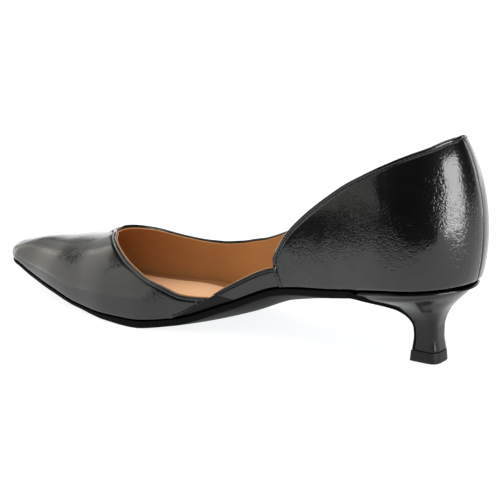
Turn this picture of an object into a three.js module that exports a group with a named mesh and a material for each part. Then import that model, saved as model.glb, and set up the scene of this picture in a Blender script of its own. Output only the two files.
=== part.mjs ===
// Pointed pump for the right foot with a low flared heel, cut away on its inner side.
// Millimetres, +X to the toe, +Y to the inner side of the foot, +Z up. The floor is z = 0.
// The sole line runs from the heel back at x = 0 to the toe tip at x = LENGTH, and the end centres the group.
import * as THREE from "three";

// The last, which every piece is worked out from
const LENGTH = 255.5; // sole line, heel back to toe tip
const BALL_WIDTH = 72; // across the sole line at the ball
const INSTEP = 70; // height of the last over the sole line at the instep
const HEEL_RISE = 35.7; // heel seat over the ball
const TOE_SPRING = 8.6; // toe tip over the ball
const CROWN = 7.5; // how far the middle of the waist hangs below its edges
const ARCH = 4; // how much higher the inner edge of the waist runs than the outer one
const HEEL_ROUND = 27; // length of the round end of the outline at the heel
const TOE_ROUND = 8; // the same at the toe
const TOE_SLOPE = 10.5; // how far the ridge of the vamp starts behind the toe tip
const HEEL_SLOPE = 34; // how far the cone of the last ends in front of the heel back

// Walls, layers and clearances
const WALL = 2.2; // leather, stiffener and lining together
const OVERLAY = 0.9; // step where the vamp and the quarter lie over the low inner strip
const RIM = 0.5; // how far the rounded rim stands over the collar line
const SOLE = 3.4; // outsole at the ball
const FLAP = 1.2; // tongue of the outsole that runs down the front of the heel
const INSOLE = 2.2;
const GAP = 0.3; // clearance between pieces that meet

// The heel and its top lift
const SEAT_LENGTH = 50; // heel back to the front edge of the heel seat
const SEAT_INSET = 1; // heel top inside the sole line
const LIFT = 5; // thickness of the top lift
const LIFT_LIP = 0.2; // how far the top lift stands out round the foot of the heel
const LIFT_FLARE = 0.3; // how much further it stands out at the floor
const NECK_BACK = 16.6; // back of the heel at its neck
const NECK_LENGTH = 10.8; // neck, front to back
const NECK_WIDTH = 11.2; // neck, side to side

// How finely the curved surfaces are divided
const TOE_COLUMNS = 13;
const TOPLINE_COLUMNS = 15;
const STRIP_COLUMNS = 6;
const QUARTER_COLUMNS = 22;
const UPPER_ROWS = 12;
const SOLE_STATIONS = 34;
const SEAT_STATIONS = 12;
const SOLE_ACROSS = 10;
const HEEL_RINGS = 12;
const HEEL_AROUND = 11;
const FLAP_ROWS = 9;

// Bottom of the last, from the heel back to the toe tip. at: share of LENGTH. inner, outer: half widths,
// shares of BALL_WIDTH. rise, spring, crown, arch, sole: shares of HEEL_RISE, TOE_SPRING, CROWN, ARCH, SOLE.
const SOLE_SECTIONS = [
  { at: 0, inner: 0.342, outer: 0.35, rise: 1, spring: 0, crown: 0.35, arch: 0, sole: 0.8 },
  { at: 0.117, inner: 0.36, outer: 0.35, rise: 0.922, spring: 0, crown: 0.4, arch: 0, sole: 0.9 },
  { at: 0.235, inner: 0.311, outer: 0.347, rise: 0.776, spring: 0, crown: 0.45, arch: 0.35, sole: 0.95 },
  { at: 0.352, inner: 0.272, outer: 0.368, rise: 0.641, spring: 0, crown: 0.6, arch: 1, sole: 0.88 },
  { at: 0.45, inner: 0.311, outer: 0.41, rise: 0.342, spring: 0, crown: 0.55, arch: 1, sole: 0.9 },
  { at: 0.548, inner: 0.429, outer: 0.465, rise: 0.078, spring: 0, crown: 0.36, arch: 0.35, sole: 0.92 },
  { at: 0.626, inner: 0.496, outer: 0.5, rise: 0.005, spring: 0, crown: 0, arch: 0, sole: 1.02 },
  { at: 0.685, inner: 0.488, outer: 0.458, rise: 0, spring: 0, crown: 0, arch: 0, sole: 0.76 },
  { at: 0.763, inner: 0.425, outer: 0.389, rise: 0, spring: 0.09, crown: 0, arch: 0, sole: 0.46 },
  { at: 0.841, inner: 0.336, outer: 0.299, rise: 0, spring: 0.42, crown: 0, arch: 0, sole: 0.5 },
  { at: 0.92, inner: 0.208, outer: 0.194, rise: 0, spring: 0.67, crown: 0, arch: 0, sole: 0.46 },
  { at: 0.978, inner: 0.122, outer: 0.122, rise: 0, spring: 0.98, crown: 0, arch: 0, sole: 0.42 },
  { at: 1, inner: 0.09, outer: 0.09, rise: 0, spring: 1, crown: 0, arch: 0, sole: 0.38 },
];

// Walls of the last at the same places. tall: ridge over the sole line, share of INSTEP. spread: how far the
// wall swells past the sole line, share of BALL_WIDTH. side, top: fullness of its lower and its upper half.
const WALL_SECTIONS = [
  { at: 0, tall: 1.156, spread: 0.103, side: 0.3, top: 1 },
  { at: 0.117, tall: 1.196, spread: 0.076, side: 0.45, top: 0.62 },
  { at: 0.235, tall: 1.327, spread: 0.069, side: 0.45, top: 0.62 },
  { at: 0.352, tall: 1.224, spread: 0.076, side: 0.45, top: 0.6 },
  { at: 0.45, tall: 1.149, spread: 0.069, side: 0.45, top: 0.58 },
  { at: 0.548, tall: 0.997, spread: 0.056, side: 0.45, top: 0.56 },
  { at: 0.626, tall: 0.71, spread: 0.042, side: 0.47, top: 0.56 },
  { at: 0.685, tall: 0.57, spread: 0.035, side: 0.5, top: 0.56 },
  { at: 0.763, tall: 0.423, spread: 0.031, side: 0.52, top: 0.56 },
  { at: 0.841, tall: 0.304, spread: 0.028, side: 0.55, top: 0.56 },
  { at: 0.92, tall: 0.216, spread: 0.024, side: 0.58, top: 0.42 },
  { at: 0.978, tall: 0.124, spread: 0.028, side: 0.6, top: 0.36 },
  { at: 1, tall: 0.114, spread: 0.045, side: 0.6, top: 0.36 },
];

// Edges of the upper. Stations run from 0 at the toe tip to 1 at the heel back; up the wall, 0 is the sole
// line and 1 the ridge. A row is one line up the wall: foot is its station at the sole line, at and up its
// top end.
const THROAT = 0.337; // station where the topline crosses the ridge
const VAMP_TOPLINE = [
  { foot: 0.337, at: 0.337, up: 1 },
  { foot: 0.344, at: 0.34, up: 0.92 },
  { foot: 0.352, at: 0.35, up: 0.84 },
  { foot: 0.36, at: 0.359, up: 0.741 },
  { foot: 0.367, at: 0.367, up: 0.679 },
  { foot: 0.381, at: 0.387, up: 0.541 },
  { foot: 0.393, at: 0.405, up: 0.438 },
  { foot: 0.406, at: 0.424, up: 0.35 },
  { foot: 0.418, at: 0.439, up: 0.279 },
  { foot: 0.429, at: 0.456, up: 0.211 },
  { foot: 0.444, at: 0.479, up: 0.126 },
  { foot: 0.454, at: 0.494, up: 0.091 },
  { foot: 0.467, at: 0.512, up: 0.056 },
];
const STRIP_TOP = [
  { foot: 0.467, at: 0.512, up: 0.056 },
  { foot: 0.489, at: 0.524, up: 0.076 },
  { foot: 0.512, at: 0.538, up: 0.088 },
  { foot: 0.537, at: 0.553, up: 0.094 },
  { foot: 0.562, at: 0.57, up: 0.097 },
  { foot: 0.583, at: 0.583, up: 0.096 },
  { foot: 0.599, at: 0.592, up: 0.094 },
];
const QUARTER_TOPLINE = [
  { foot: 0.599, at: 0.592, up: 0.094 },
  { foot: 0.605, at: 0.592, up: 0.13 },
  { foot: 0.611, at: 0.595, up: 0.158 },
  { foot: 0.618, at: 0.601, up: 0.187 },
  { foot: 0.626, at: 0.608, up: 0.217 },
  { foot: 0.636, at: 0.618, up: 0.246 },
  { foot: 0.65, at: 0.636, up: 0.2845 },
  { foot: 0.668, at: 0.658, up: 0.324 },
  { foot: 0.688, at: 0.681, up: 0.3545 },
  { foot: 0.71, at: 0.706, up: 0.381 },
  { foot: 0.744, at: 0.743, up: 0.4135 },
  { foot: 0.774, at: 0.773, up: 0.445 },
  { foot: 0.79, at: 0.79, up: 0.469 },
  { foot: 0.807, at: 0.806, up: 0.4965 },
  { foot: 0.826, at: 0.825, up: 0.531 },
  { foot: 0.846, at: 0.846, up: 0.568 },
  { foot: 0.87, at: 0.87, up: 0.604 },
  { foot: 0.894, at: 0.894, up: 0.633 },
  { foot: 0.937, at: 0.937, up: 0.666 },
  { foot: 1, at: 1, up: 0.678 },
];
const OUTER_TOPLINE = [
  { foot: 0.337, at: 0.337, up: 1 },
  { foot: 0.345, at: 0.339, up: 0.91 },
  { foot: 0.351, at: 0.342, up: 0.825 },
  { foot: 0.356, at: 0.346, up: 0.76 },
  { foot: 0.362, at: 0.351, up: 0.7 },
  { foot: 0.37, at: 0.36, up: 0.625 },
  { foot: 0.383, at: 0.376, up: 0.505 },
  { foot: 0.399, at: 0.395, up: 0.416 },
  { foot: 0.416, at: 0.414, up: 0.361 },
  { foot: 0.436, at: 0.435, up: 0.3275 },
  { foot: 0.455, at: 0.454, up: 0.299 },
  { foot: 0.476, at: 0.475, up: 0.272 },
  { foot: 0.508, at: 0.508, up: 0.254 },
  { foot: 0.532, at: 0.532, up: 0.25 },
  { foot: 0.568, at: 0.568, up: 0.257 },
  { foot: 0.618, at: 0.618, up: 0.287 },
  { foot: 0.658, at: 0.658, up: 0.3265 },
  { foot: 0.706, at: 0.706, up: 0.3765 },
  { foot: 0.743, at: 0.743, up: 0.41 },
  { foot: 0.773, at: 0.773, up: 0.4425 },
  { foot: 0.79, at: 0.79, up: 0.467 },
  { foot: 0.807, at: 0.806, up: 0.4945 },
  { foot: 0.826, at: 0.825, up: 0.529 },
  { foot: 0.846, at: 0.846, up: 0.566 },
  { foot: 0.87, at: 0.87, up: 0.6025 },
  { foot: 0.894, at: 0.894, up: 0.6325 },
  { foot: 0.937, at: 0.937, up: 0.666 },
  { foot: 1, at: 1, up: 0.678 },
];

// The heel from the top lift, 0, to its seat, 1. ahead, rise: its front edge, shares of the way from the neck
// to the front of the seat and from the lift to the sole. behind, lift: its back, shares of the way from the
// neck to the back of the seat and from the lift to the seat. front, middle: half widths at the front edge and
// at the widest place, shares of the way from half the neck to half the seat. square: how square its back is,
// the power of the curve round it, 2 for an ellipse.
const HEEL_LEVELS = [
  { at: 0, ahead: 0.026, rise: 0, behind: 0.06, lift: 0, front: 0.018, middle: 0.03, square: 3.8 },
  { at: 0.14, ahead: 0, rise: 0.249, behind: 0, lift: 0.188, front: 0, middle: 0, square: 3.8 },
  { at: 0.24, ahead: 0, rise: 0.407, behind: 0, lift: 0.316, front: 0.03, middle: 0.025, square: 3.6 },
  { at: 0.33, ahead: 0.039, rise: 0.538, behind: 0.05, lift: 0.433, front: 0.089, middle: 0.085, square: 3.2 },
  { at: 0.42, ahead: 0.116, rise: 0.654, behind: 0.17, lift: 0.558, front: 0.2, middle: 0.22, square: 2.7 },
  { at: 0.52, ahead: 0.27, rise: 0.755, behind: 0.385, lift: 0.678, front: 0.33, middle: 0.42, square: 2.3 },
  { at: 0.65, ahead: 0.5, rise: 0.816, behind: 0.63, lift: 0.791, front: 0.47, middle: 0.63, square: 2 },
  { at: 0.8, ahead: 0.725, rise: 0.875, behind: 0.83, lift: 0.887, front: 0.66, middle: 0.82, square: 2 },
  { at: 0.93, ahead: 0.915, rise: 0.94, behind: 0.935, lift: 0.942, front: 0.862, middle: 0.915, square: 2 },
  { at: 1, ahead: 1, rise: 1, behind: 0.98, lift: 0.97, front: 0.97, middle: 0.96, square: 2 },
];
const WIDEST = 0.55; // place of the widest line of the heel, share of the way from its back to its front
const BOW_FROM = 0.6; // level above which the front face of the heel takes on the crown of the waist
const FLAP_FROM = 0.78; // level above which the flap thickens into the waist of the sole
const HEEL_TOP_LEVEL = 0.93; // level of the last ring under the seat
const SEAT_STEPS = [0, 0.3, 0.6, 0.85]; // rings over the seat, shares of the way to its middle

const INNER = 1;
const OUTER = -1;
const TINY = 1e-3; // step of a slope, and the distance under which two corners are one

// Smooth value along a table: a cubic through the rows that doesn't overshoot them
function curve(table, key, name) {
  const xs = table.map((row) => row[key]);
  const ys = table.map((row) => row[name]);
  const last = xs.length - 1;
  const steps = xs.slice(1).map((x, i) => x - xs[i]);
  const rates = steps.map((step, i) => (ys[i + 1] - ys[i]) / step);
  const slopes = xs.map((_, i) => {
    if (i === 0) return rates[0];
    if (i === last) return rates[last - 1];
    if (rates[i - 1] * rates[i] <= 0) return 0;
    const before = 2 * steps[i] + steps[i - 1];
    const after = steps[i] + 2 * steps[i - 1];
    return (before + after) / (before / rates[i - 1] + after / rates[i]);
  });
  return (x) => {
    let i = 0;
    while (i < last - 1 && x > xs[i + 1]) i += 1;
    const t = THREE.MathUtils.clamp((x - xs[i]) / steps[i], 0, 1);
    const rest = 1 - t;
    const ends = ys[i] * (1 + 2 * t) * rest * rest + ys[i + 1] * t * t * (3 - 2 * t);
    return ends + steps[i] * t * rest * (slopes[i] * rest - slopes[i + 1] * t);
  };
}

// Each column of the two tables as a function of the place along the sole line
const section = {};
for (const table of [SOLE_SECTIONS, WALL_SECTIONS]) {
  for (const name of Object.keys(table[0]).slice(1)) {
    const along = curve(table, "at", name);
    section[name] = (x) => along(x / LENGTH);
  }
}

const mix = THREE.MathUtils.lerp;
const range = (count) => Array.from({ length: count + 1 }, (_, i) => i / count);

// Round ends of the outline: 1 along the shoe, falling to 0 at the heel back and the toe tip
function roundEnds(x) {
  const heel = 1 - Math.min(x / HEEL_ROUND, 1);
  const toe = 1 - Math.min((LENGTH - x) / TOE_ROUND, 1);
  return Math.sqrt(Math.max(0, 1 - heel * heel)) * Math.sqrt(Math.max(0, 1 - toe * toe));
}

// Half width of the sole line on one side
function halfWidth(side, x) {
  return BALL_WIDTH * (side === INNER ? section.inner(x) : section.outer(x)) * roundEnds(x);
}

// Height of the sole line at its inner edge
function edgeHeight(x) {
  return SOLE + HEEL_RISE * section.rise(x) + TOE_SPRING * section.spring(x);
}

// Height of the bottom of the last: its outer edge lies lower than its inner one, and its middle hangs
function bedHeight(x, y) {
  const half = halfWidth(y < 0 ? OUTER : INNER, x);
  const across = half > 0 ? THREE.MathUtils.clamp(y / half, -1, 1) : 0;
  const outerDrop = (ARCH * section.arch(x) * (1 - across)) / 2;
  return edgeHeight(x) - outerDrop - CROWN * section.crown(x) * roundEnds(x) * (1 - across * across);
}

// Stations bunch up towards both ends, so that the round ends get their share
function stationX(station) {
  return (LENGTH * (1 + Math.cos(Math.PI * station))) / 2;
}

function soleLine(side, station) {
  const x = stationX(station);
  const y = side * halfWidth(side, x);
  return new THREE.Vector3(x, y, bedHeight(x, y));
}

// Level direction out of the sole line
function outOfSoleLine(side, station) {
  if (station < TINY) return new THREE.Vector3(1, 0, 0);
  if (station > 1 - TINY) return new THREE.Vector3(-1, 0, 0);
  const along = soleLine(side, station + TINY).sub(soleLine(side, station - TINY));
  return new THREE.Vector3(along.y * side, -along.x * side, 0).normalize();
}

// A point of the last: from the sole line up the wall to the ridge along the top
function lastPoint(side, station, up) {
  const foot = soleLine(side, station);
  const start = HEEL_SLOPE + ((LENGTH - TOE_SLOPE - HEEL_SLOPE) * (1 + Math.cos(Math.PI * station))) / 2;
  const ridgeHeight = (x) => edgeHeight(x) + INSTEP * section.tall(x);
  const ridge = new THREE.Vector3(start, 0, ridgeHeight(start));
  const slope = (ridgeHeight(start + TINY) - ridgeHeight(start - TINY)) / (2 * TINY);
  const swell = outOfSoleLine(side, station).multiplyScalar(BALL_WIDTH * section.spread(foot.x));
  const low = foot.clone().add(swell);
  low.z += section.side(foot.x) * (ridge.z - foot.z);
  const fullness = section.top(foot.x);
  const back = foot.x - start;
  const high = ridge.clone().add(new THREE.Vector3(back, foot.y, slope * back).multiplyScalar(fullness));
  return new THREE.CubicBezierCurve3(foot, low, high, ridge).getPoint(up);
}

function outwardAt(side, station, up) {
  const s = THREE.MathUtils.clamp(station, 3 * TINY, 1 - 3 * TINY);
  const v = THREE.MathUtils.clamp(up, TINY, 1 - 3 * TINY);
  const along = lastPoint(side, s + TINY, v).sub(lastPoint(side, s - TINY, v));
  const rising = lastPoint(side, s, v + TINY).sub(lastPoint(side, s, v - TINY));
  return along.cross(rising).multiplyScalar(side).normalize();
}

// A point under the surface of the upper. On the centre line both sides give the same point.
function wallPoint(side, station, up, depth) {
  const outward = outwardAt(side, station, up);
  if (station === 0 || station === 1 || up === 1) {
    outward.add(outwardAt(-side, station, up));
    outward.y = 0;
    outward.normalize();
  }
  return lastPoint(side, station, up).addScaledVector(outward, -depth);
}

// A closed solid from four-cornered patches: equal corners are shared, and patches that shrink to a line go
function solid(patches) {
  const places = new Map();
  const position = [];
  const index = [];
  const corner = (p) => {
    const key = [p.x, p.y, p.z].map((n) => Math.round(n / TINY)).join(" ");
    if (!places.has(key)) {
      places.set(key, places.size);
      position.push(p.x, p.y, p.z);
    }
    return places.get(key);
  };
  for (const patch of patches) {
    const [a, b, c, d] = patch.map(corner);
    for (const triangle of [[a, b, c], [a, c, d]]) {
      if (new Set(triangle).size === 3) index.push(...triangle);
    }
  }
  const geometry = new THREE.BufferGeometry();
  geometry.setAttribute("position", new THREE.Float32BufferAttribute(position, 3));
  geometry.setIndex(index);
  geometry.computeVertexNormals();
  return geometry;
}

// Patches between neighbouring rows of points, turned round where asked
function sheet(rows, turned = false) {
  const patches = [];
  for (let i = 0; i + 1 < rows.length; i += 1) {
    for (let j = 0; j + 1 < rows[i].length; j += 1) {
      const patch = [rows[i][j], rows[i + 1][j], rows[i + 1][j + 1], rows[i][j + 1]];
      patches.push(turned ? patch.reverse() : patch);
    }
  }
  return patches;
}

// Lines up the wall of one side: the toe, then one table of the topline after the other
function upperColumns(side) {
  const columns = range(TOE_COLUMNS).map((share) => {
    const station = THROAT * share;
    return { foot: station, at: station, up: 1, sunk: 0 };
  });
  const follow = (table, count, sunk) => {
    const at = curve(table, "foot", "at");
    const up = curve(table, "foot", "up");
    const first = table[0].foot;
    const end = table[table.length - 1].foot;
    for (const share of range(count)) {
      if (share === 0 && first === THROAT) continue;
      const foot = mix(first, end, share);
      columns.push({ foot, at: at(foot), up: up(foot), sunk });
    }
  };
  if (side === INNER) {
    follow(VAMP_TOPLINE, TOPLINE_COLUMNS, 0);
    follow(STRIP_TOP, STRIP_COLUMNS, OVERLAY);
    follow(QUARTER_TOPLINE, QUARTER_COLUMNS, 0);
  } else {
    follow(OUTER_TOPLINE, TOPLINE_COLUMNS + STRIP_COLUMNS + QUARTER_COLUMNS, 0);
  }
  return columns;
}

function upperSide(side) {
  const columns = upperColumns(side);
  const face = (depth) =>
    columns.map(({ foot, at, up, sunk }) =>
      range(UPPER_ROWS).map((share) =>
        wallPoint(side, mix(foot, at, share), up * share, depth === 0 ? sunk : depth),
      ),
    );
  const outside = face(0);
  const inside = face(WALL);
  const open = columns.findIndex(({ foot }) => foot === THROAT);
  const rim = columns.map((_, i) => {
    const out = outside[i][UPPER_ROWS];
    const inn = inside[i][UPPER_ROWS];
    const lift = out.clone().sub(outside[i][UPPER_ROWS - 1]).normalize();
    const crest = out.clone().lerp(inn, 0.5).addScaledVector(lift, i > open ? RIM : 0);
    return [out, crest, inn];
  });
  const edge = columns.map((_, i) => [inside[i][0], outside[i][0]]);
  const turned = side === OUTER;
  return [
    ...sheet(outside, turned),
    ...sheet(inside, !turned),
    ...sheet(rim.slice(open), turned),
    ...sheet(edge, turned),
  ];
}

function upper() {
  return solid([...upperSide(INNER), ...upperSide(OUTER)]);
}

// One row across the sole, from its outer edge to its inner one: drawn in by an inset, at a height over the bed
function rowAcross(station, inset, height) {
  const ends = [OUTER, INNER].map((side) =>
    soleLine(side, station).addScaledVector(outOfSoleLine(side, station), -inset),
  );
  return range(SOLE_ACROSS).map((share) => {
    const point = ends[0].clone().lerp(ends[1], share);
    point.z = bedHeight(point.x, point.y) + height;
    return point;
  });
}

// A plate from an upper and a lower set of rows, closed round its edge
function plate(top, bottom) {
  const rims = [0, SOLE_ACROSS].map((j) => top.map((_, i) => [bottom[i][j], top[i][j]]));
  const last = top.length - 1;
  const ends = [0, last].map((i) => top[i].map((_, j) => [bottom[i][j], top[i][j]]));
  return solid([
    ...sheet(top, true),
    ...sheet(bottom),
    ...sheet(rims[0], true),
    ...sheet(rims[1]),
    ...sheet(ends[0]),
    ...sheet(ends[1], true),
  ]);
}

const seatStation = Math.acos((2 * SEAT_LENGTH) / LENGTH - 1) / Math.PI;
const soleStations = range(SOLE_STATIONS).map((share) => seatStation * share);

function insole() {
  const seatStations = range(SEAT_STATIONS).map((share) => mix(seatStation, 1, share));
  const stations = [...soleStations, ...seatStations.slice(1)];
  const layer = (height) => stations.map((station) => rowAcross(station, WALL + GAP, height));
  return plate(layer(INSOLE), layer(0));
}

const soleThickness = (x) => SOLE * section.sole(x);
const heelFoot = LIFT + GAP; // height of the foot of the heel
const soleUnderSeat = edgeHeight(SEAT_LENGTH) - GAP - soleThickness(SEAT_LENGTH);

const heelAt = {};
for (const name of Object.keys(HEEL_LEVELS[0]).slice(1)) heelAt[name] = curve(HEEL_LEVELS, "at", name);

// The flap thins from the waist of the sole to its own thickness on the neck
function flapThickness(level) {
  return mix(FLAP, soleThickness(SEAT_LENGTH), THREE.MathUtils.smoothstep(level, FLAP_FROM, 1));
}

// The front of the heel in side view, at a depth behind the face of the flap
function heelFront(level, depth) {
  const place = (at) =>
    new THREE.Vector2(
      mix(NECK_BACK + NECK_LENGTH, SEAT_LENGTH, heelAt.ahead(at)),
      mix(heelFoot, soleUnderSeat, heelAt.rise(at)),
    );
  const above = place(Math.min(level + TINY, 1));
  const below = place(Math.max(level - TINY, 0));
  const along = above.sub(below).normalize();
  const point = place(level);
  return { x: point.x - along.y * depth, z: Math.max(point.y + along.x * depth, heelFoot) };
}

// Half width of the heel seat, a little inside the sole line
function seatHalf(side, x) {
  const width = BALL_WIDTH * (side === INNER ? section.inner(x) : section.outer(x));
  return (width - SEAT_INSET) * roundEnds(x - SEAT_INSET);
}

function heelHalf(side, level, place) {
  return mix(NECK_WIDTH / 2, seatHalf(side, SEAT_LENGTH), heelAt[place](level));
}

// One row across the front of the heel, from its outer to its inner corner, hanging like the waist at the top
function frontRow(level, depth) {
  const front = heelFront(level, depth);
  const hang = CROWN * section.crown(SEAT_LENGTH) * THREE.MathUtils.smoothstep(level, BOW_FROM, 1);
  return range(SOLE_ACROSS).map((share) => {
    const across = 2 * share - 1;
    const y = across * heelHalf(across < 0 ? OUTER : INNER, level, "front");
    return new THREE.Vector3(front.x, y, front.z - hang * (1 - across * across));
  });
}

function outsole() {
  const top = soleStations.map((station) => rowAcross(station, 0, -GAP));
  const bottom = soleStations.map((station) => {
    const row = rowAcross(station, 0, -GAP - soleThickness(stationX(station)));
    for (const point of row) point.z = Math.max(point.z, 0);
    return row;
  });
  for (const share of range(FLAP_ROWS)) {
    const level = mix(HEEL_TOP_LEVEL, 0, share);
    top.push(frontRow(level, flapThickness(level)));
    bottom.push(frontRow(level, 0));
  }
  return plate(top, bottom);
}

// Points of one closed line: side points from the front corner round the back, then the front row
function ring(sideLine, front) {
  return [...sideLine(INNER).reverse(), ...sideLine(OUTER).slice(1), ...front.slice(1)];
}

// Shares of the way from the back of the heel to its front corner, close together at the back
const backToFront = range(HEEL_AROUND).map((step) => 1 - Math.cos((step * Math.PI) / 2));

function heelRing(level, depth) {
  const front = frontRow(level, depth);
  const corner = front[0];
  const top = edgeHeight(0) - GAP;
  const backX = mix(NECK_BACK, SEAT_INSET, heelAt.behind(level));
  const backZ = mix(heelFoot, top, heelAt.lift(level));
  const sideLine = (side) =>
    backToFront.map((share) => {
      const middle = heelHalf(side, level, "middle");
      const end = heelHalf(side, level, "front");
      const power = heelAt.square(level);
      const round = middle * (1 - Math.max(0, 1 - share / WIDEST) ** power) ** (1 / power);
      const taper = Math.max(0, (share - WIDEST) / (1 - WIDEST)) ** 2;
      const half = round - (middle - end) * taper;
      return new THREE.Vector3(mix(backX, corner.x, share), side * half, mix(backZ, corner.z, share));
    });
  return ring(sideLine, front);
}

// The line where the heel meets the bottom of the last, or one drawn in towards the middle of the seat
function seatRing(inward) {
  const frontX = heelFront(HEEL_TOP_LEVEL, flapThickness(HEEL_TOP_LEVEL) + GAP).x;
  const middle = mix(SEAT_INSET, frontX, WIDEST);
  const place = (x, across) => {
    const side = across < 0 ? OUTER : INNER;
    const near = mix(x, middle, inward);
    const y = across * seatHalf(side, x) * (1 - inward);
    return new THREE.Vector3(near, y, bedHeight(near, y) - GAP);
  };
  const sideLine = (side) => backToFront.map((share) => place(mix(SEAT_INSET, frontX, share), side));
  return ring(sideLine, range(SOLE_ACROSS).map((share) => place(frontX, 2 * share - 1)));
}

// Flat lid over a closed line of points at one height
function lid(line, turned) {
  const middle = line.reduce((sum, p) => sum.add(p), new THREE.Vector3()).divideScalar(line.length);
  return sheet([line, line.map(() => middle)], turned);
}

function heel() {
  const rings = range(HEEL_RINGS).map((share) => {
    const level = HEEL_TOP_LEVEL * share;
    return heelRing(level, flapThickness(level) + GAP);
  });
  const seat = SEAT_STEPS.map((inward) => seatRing(inward));
  const lines = [...rings, ...seat];
  return solid([...sheet(lines, true), ...lid(lines[0], false), ...lid(seat[seat.length - 1], true)]);
}

function topLift() {
  const outline = heelRing(0, 0);
  const line = (lip, height) =>
    outline.map(({ x, y }) => {
      const middle = NECK_BACK + NECK_LENGTH / 2;
      const long = 1 + lip / (NECK_LENGTH / 2);
      const wide = 1 + lip / (NECK_WIDTH / 2);
      return new THREE.Vector3(middle + (x - middle) * long, y * wide, height);
    });
  const lines = [line(LIFT_LIP + LIFT_FLARE, 0), line(LIFT_LIP, LIFT)];
  return solid([...sheet(lines, true), ...lid(lines[0], false), ...lid(lines[1], true)]);
}

function piece(name, geometry, finish) {
  const mesh = new THREE.Mesh(geometry, new THREE.MeshStandardMaterial(finish));
  mesh.name = name;
  return mesh;
}

const LEATHER = { color: 0x16181a, roughness: 0.22, metalness: 0 };
const LINING = { color: 0xd0a478, roughness: 0.6, metalness: 0 };
const SOLE_FINISH = { color: 0x26282a, roughness: 0.5, metalness: 0 };
const RUBBER = { color: 0x2a2c2c, roughness: 0.7, metalness: 0 };

const shoe = new THREE.Group();
shoe.add(piece("upper", upper(), LEATHER));
shoe.add(piece("insole", insole(), LINING));
shoe.add(piece("outsole", outsole(), SOLE_FINISH));
shoe.add(piece("heel", heel(), LEATHER));
shoe.add(piece("top_lift", topLift(), RUBBER));

// The origin is on the floor under the middle of the shoe
const box = new THREE.Box3().setFromObject(shoe, true);
shoe.position.set(-(box.min.x + box.max.x) / 2, -(box.min.y + box.max.y) / 2, -box.min.z);

export default shoe;
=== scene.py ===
"""Looks of a pointed black pump for the right foot, cut away on its inner side, on a low flared heel."""

import math

import bpy
import numpy as np
from mathutils import Matrix, Vector, kdtree, noise

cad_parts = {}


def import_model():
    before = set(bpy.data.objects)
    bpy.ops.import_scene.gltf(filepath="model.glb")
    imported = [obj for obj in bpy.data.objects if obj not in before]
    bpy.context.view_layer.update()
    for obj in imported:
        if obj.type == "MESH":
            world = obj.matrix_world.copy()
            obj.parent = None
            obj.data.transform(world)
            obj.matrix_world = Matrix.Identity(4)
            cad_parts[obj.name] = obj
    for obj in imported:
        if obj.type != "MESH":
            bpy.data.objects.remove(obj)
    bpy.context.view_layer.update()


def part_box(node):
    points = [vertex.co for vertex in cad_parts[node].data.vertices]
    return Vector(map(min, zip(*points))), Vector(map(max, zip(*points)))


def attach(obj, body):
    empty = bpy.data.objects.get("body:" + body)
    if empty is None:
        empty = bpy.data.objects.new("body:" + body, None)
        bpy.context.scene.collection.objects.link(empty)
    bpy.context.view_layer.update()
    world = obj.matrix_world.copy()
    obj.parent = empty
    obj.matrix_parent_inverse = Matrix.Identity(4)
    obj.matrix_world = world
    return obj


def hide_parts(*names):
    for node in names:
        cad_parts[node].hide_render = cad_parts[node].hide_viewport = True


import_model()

MM = 0.001

# The last, in millimetres, the same sizes as the solids
LENGTH = 255.5
BALL_WIDTH = 72.0
INSTEP = 70.0
HEEL_RISE = 35.7
TOE_SPRING = 8.6
CROWN = 7.5
ARCH = 4.0
HEEL_ROUND = 27.0
TOE_ROUND = 8.0
TOE_SLOPE = 10.5
HEEL_SLOPE = 34.0

# Layers of the solids
WALL = 2.2
SOLE = 3.4
FLAP = 1.2
INSOLE = 2.2
GAP = 0.3
SEAT_LENGTH = 50.0
SEAT_INSET = 1.0
LIFT = 5.0
LIFT_LIP = 0.2
LIFT_FLARE = 0.3
NECK_BACK = 16.6
NECK_LENGTH = 10.8
NECK_WIDTH = 11.2

# Leather work
LEATHER = 1.5        # folded edge of a panel
SKIVED = 0.85        # the same where it lies over the waist strip
STRIP_DEPTH = 0.9    # how deep the waist strip lies under the outer panels
STRIP_LEATHER = 0.55
GUSSET_DEPTH = 1.2
GUSSET_LEATHER = 0.3
LINING = 0.65
FOLD_ROUND = 0.7     # radius of a folded edge
SEAM_ROUND = 0.45    # how far the leather turns in at the back seam
FEATHER_FORE = 1.3   # how far the leather turns under at the sole, forepart
FEATHER_HEEL = 1.9   # and at the heel
MARGIN = 2.6         # how far the leather is lasted under the insole
HEM_DROP = 0.26      # its edge lies between insole and sole
LINING_FOOT = 1.3    # the lining starts this far above the sole
EDGE_HIGHLIGHT_REACH = 0.4       # cut edge of the lining that shows inside the fold; its lighter colour is partly the raw edge's own, partly painted highlight where it catches the light
SHADED_MARGIN_SHARE = 0.13   # bare margin beyond the sock on the outer side, a share of the ball width; its colour is painted darker than the lining, as painted shade by the outer wall
STITCH_INSET = 1.9   # stitch line inside a folded edge
BACK_INSET = 1.1     # the same along the vamp's back edge
STRIP_INSET = 1.5    # along the waist strip
SEAM_INSET = 1.3     # beside the back seam
LINING_INSET = 2.6   # on the lining
STITCH_PITCH = 2.1
THREAD_SINK = 0.05   # how far a thread lies in the leather
LINING_SINK = 0.02
CHANNEL = 0.34       # depth of the channel that the stitches pull
FOLD_SWELL = 0.14    # how much a folded edge stands up outside its stitches

INNER = 1
OUTER = -1
TINY = 1e-3
WELD = 4e-6          # metres


def table(columns, *rows):
    return {name: np.array([row[i] for row in rows], float) for i, name in enumerate(columns)}


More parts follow.
